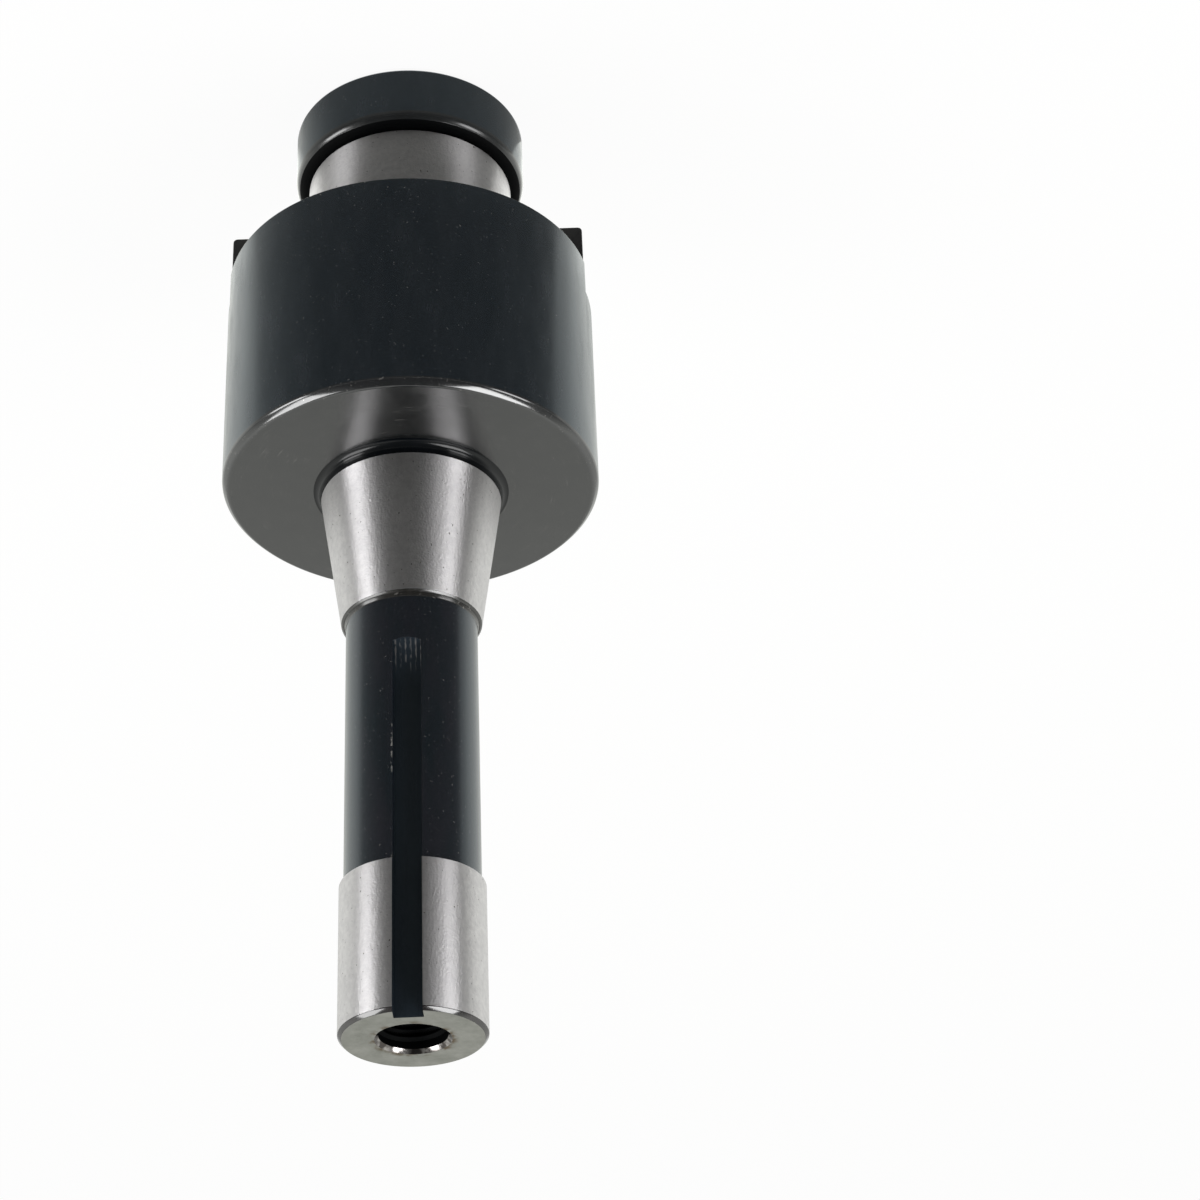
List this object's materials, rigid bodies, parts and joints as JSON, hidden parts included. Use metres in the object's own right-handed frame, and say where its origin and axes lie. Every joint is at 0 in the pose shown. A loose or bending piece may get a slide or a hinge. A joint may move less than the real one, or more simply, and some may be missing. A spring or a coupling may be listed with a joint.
{
  "type": "shell mill arbor",
  "caption": "Milling arbor with a tapered shank, keyway and drawbar thread, a thick flange with drive keys, and a pilot closed by the wide head of its clamp screw.",
  "frame": {"origin": "centre of the flat outer face of the clamp screw's head, on which the arbor stands, which is the centre of the bottom of its box", "axes": "+Z along the arbor's axis from the pilot to the drawbar end of the shank; the two drive keys lie on +X and -X; the shank's keyway faces -Y, turned 0.9 degrees towards +X"},
  "size_m": [0.0666, 0.0666, 0.1847],
  "materials": {
    "arbor_steel": "black oxide with ground bright bands",
    "clamp_screw_steel": "black oxide",
    "key_steel": "black oxide",
    "key_screw_steel": "black oxide"
  },
  "bodies": {
    "root": {"arbor_body": "arbor_steel", "clamp_screw": "clamp_screw_steel", "drive_key_right": "key_steel", "drive_key_left": "key_steel", "key_screw_right": "key_screw_steel", "key_screw_left": "key_screw_steel"}
  },
  "joints": []
}
